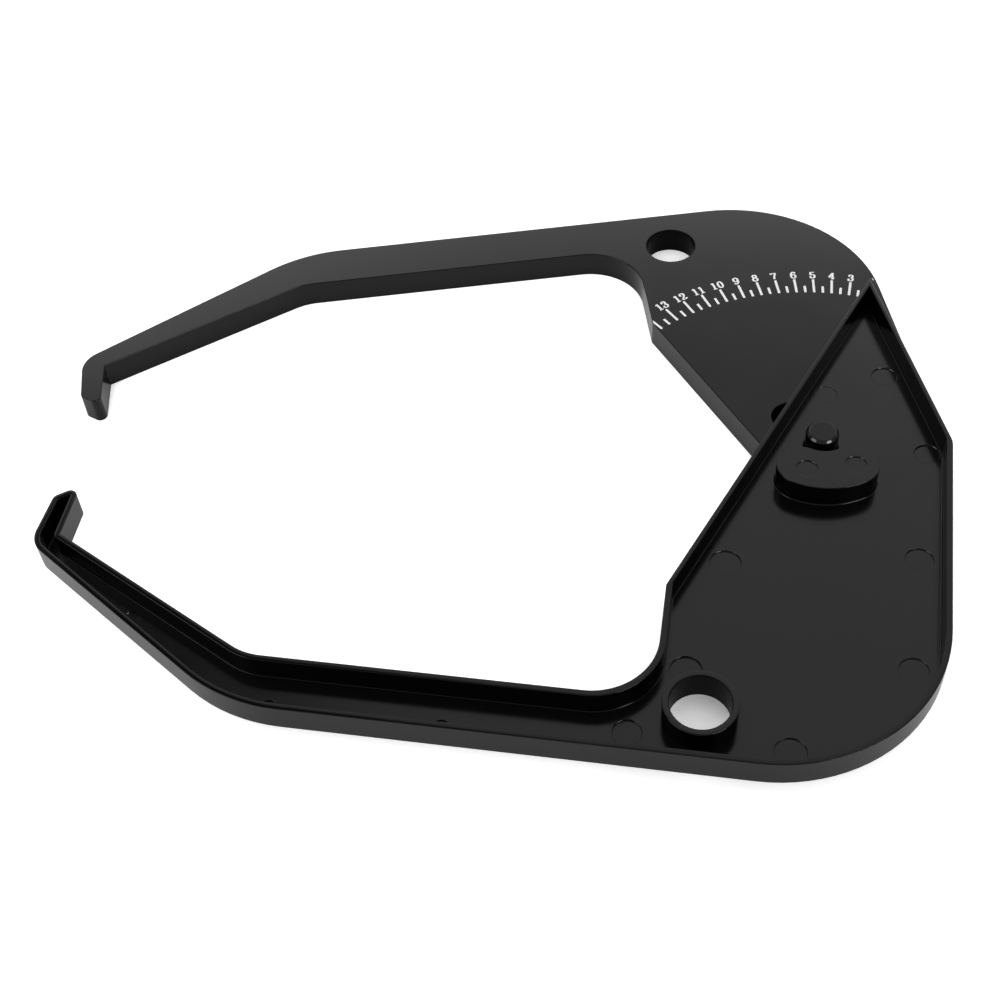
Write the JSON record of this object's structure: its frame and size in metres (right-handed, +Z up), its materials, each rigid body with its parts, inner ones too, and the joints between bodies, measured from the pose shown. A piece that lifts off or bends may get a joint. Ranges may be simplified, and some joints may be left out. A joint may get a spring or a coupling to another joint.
{
  "type": "rim width caliper",
  "caption": "Pivoted plastic caliper with curved arms and hooked jaws, opened over a printed scale on a wedge plate to read a width.",
  "frame": {"origin": "middle of the footprint, on the bench that the scale arm's rims rest on", "axes": "-X from the pivot towards the jaws along the line on which they meet, +Y towards the scale arm's side, +Z up along the pivot pin"},
  "size_m": [0.3858, 0.3256, 0.0257],
  "materials": {
    "arm_plastic": "satin moulded black",
    "pin_plastic": "polished black"
  },
  "bodies": {
    "scale_arm": {"scale_arm": "arm_plastic", "pivot_pin": "pin_plastic"},
    "open_arm": {"open_arm": "arm_plastic"}
  },
  "joints": [
    {"name": "arm_pivot", "type": "hinge", "parent": "scale_arm", "child": "open_arm", "pos_m": [0.14032, 0, 0.01285], "axis": [0, 0, 1], "range_deg": [-11.6, 55]}
  ]
}
